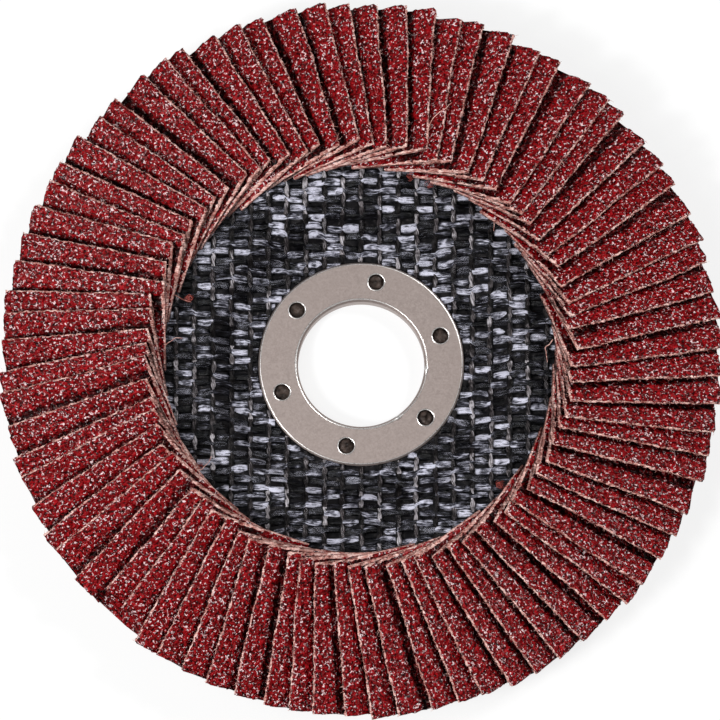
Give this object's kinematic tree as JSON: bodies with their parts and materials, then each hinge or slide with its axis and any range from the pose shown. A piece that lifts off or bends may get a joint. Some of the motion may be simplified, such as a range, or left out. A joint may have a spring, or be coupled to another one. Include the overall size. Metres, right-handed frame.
{
  "type": "flap disc",
  "caption": "Conical abrasive flap disc: overlapping coated-cloth flaps bonded to a dished fibreglass plate with a plain bore in a pressed steel centre ring.",
  "frame": {"origin": "on the bore's axis, at the flat back face of the hub", "axes": "+Z along the bore's axis towards the grit side; +Y is the picture's up and +X its right, and seen from +Z the flaps' open edges face clockwise"},
  "size_m": [0.1276, 0.1274, 0.0156],
  "materials": {
    "ring_steel": "thin bright plating, satin, faintly stained",
    "woven_laminate": "black woven tape set in glossy resin",
    "cured_resin": "dark cured resin",
    "coated_cloth": "coarse red-brown grit on pale pink-brown cloth with frayed edges"
  },
  "bodies": {
    "root": {"centre_ring": "ring_steel", "backing_plate": "woven_laminate", "adhesive_ring": "cured_resin", "flap_pair_01": "coated_cloth", "flap_pair_02": "coated_cloth", "flap_pair_03": "coated_cloth", "flap_pair_04": "coated_cloth", "flap_pair_05": "coated_cloth", "flap_pair_06": "coated_cloth", "flap_pair_07": "coated_cloth", "flap_pair_08": "coated_cloth", "flap_pair_09": "coated_cloth", "flap_pair_10": "coated_cloth", "flap_pair_11": "coated_cloth", "flap_pair_12": "coated_cloth", "flap_pair_13": "coated_cloth", "flap_pair_14": "coated_cloth", "flap_pair_15": "coated_cloth", "flap_pair_16": "coated_cloth", "flap_pair_17": "coated_cloth", "flap_pair_18": "coated_cloth", "flap_pair_19": "coated_cloth", "flap_pair_20": "coated_cloth", "flap_pair_21": "coated_cloth", "flap_pair_22": "coated_cloth", "flap_pair_23": "coated_cloth", "flap_pair_24": "coated_cloth", "flap_pair_25": "coated_cloth", "flap_pair_26": "coated_cloth", "flap_pair_27": "coated_cloth", "flap_pair_28": "coated_cloth", "flap_pair_29": "coated_cloth", "flap_pair_30": "coated_cloth", "flap_pair_31": "coated_cloth", "flap_pair_32": "coated_cloth", "flap_pair_33": "coated_cloth", "flap_pair_34": "coated_cloth", "flap_pair_35": "coated_cloth", "flap_pair_36": "coated_cloth", "flap_pair_37": "coated_cloth", "flap_pair_38": "coated_cloth", "flap_pair_39": "coated_cloth", "flap_pair_40": "coated_cloth"}
  },
  "joints": []
}
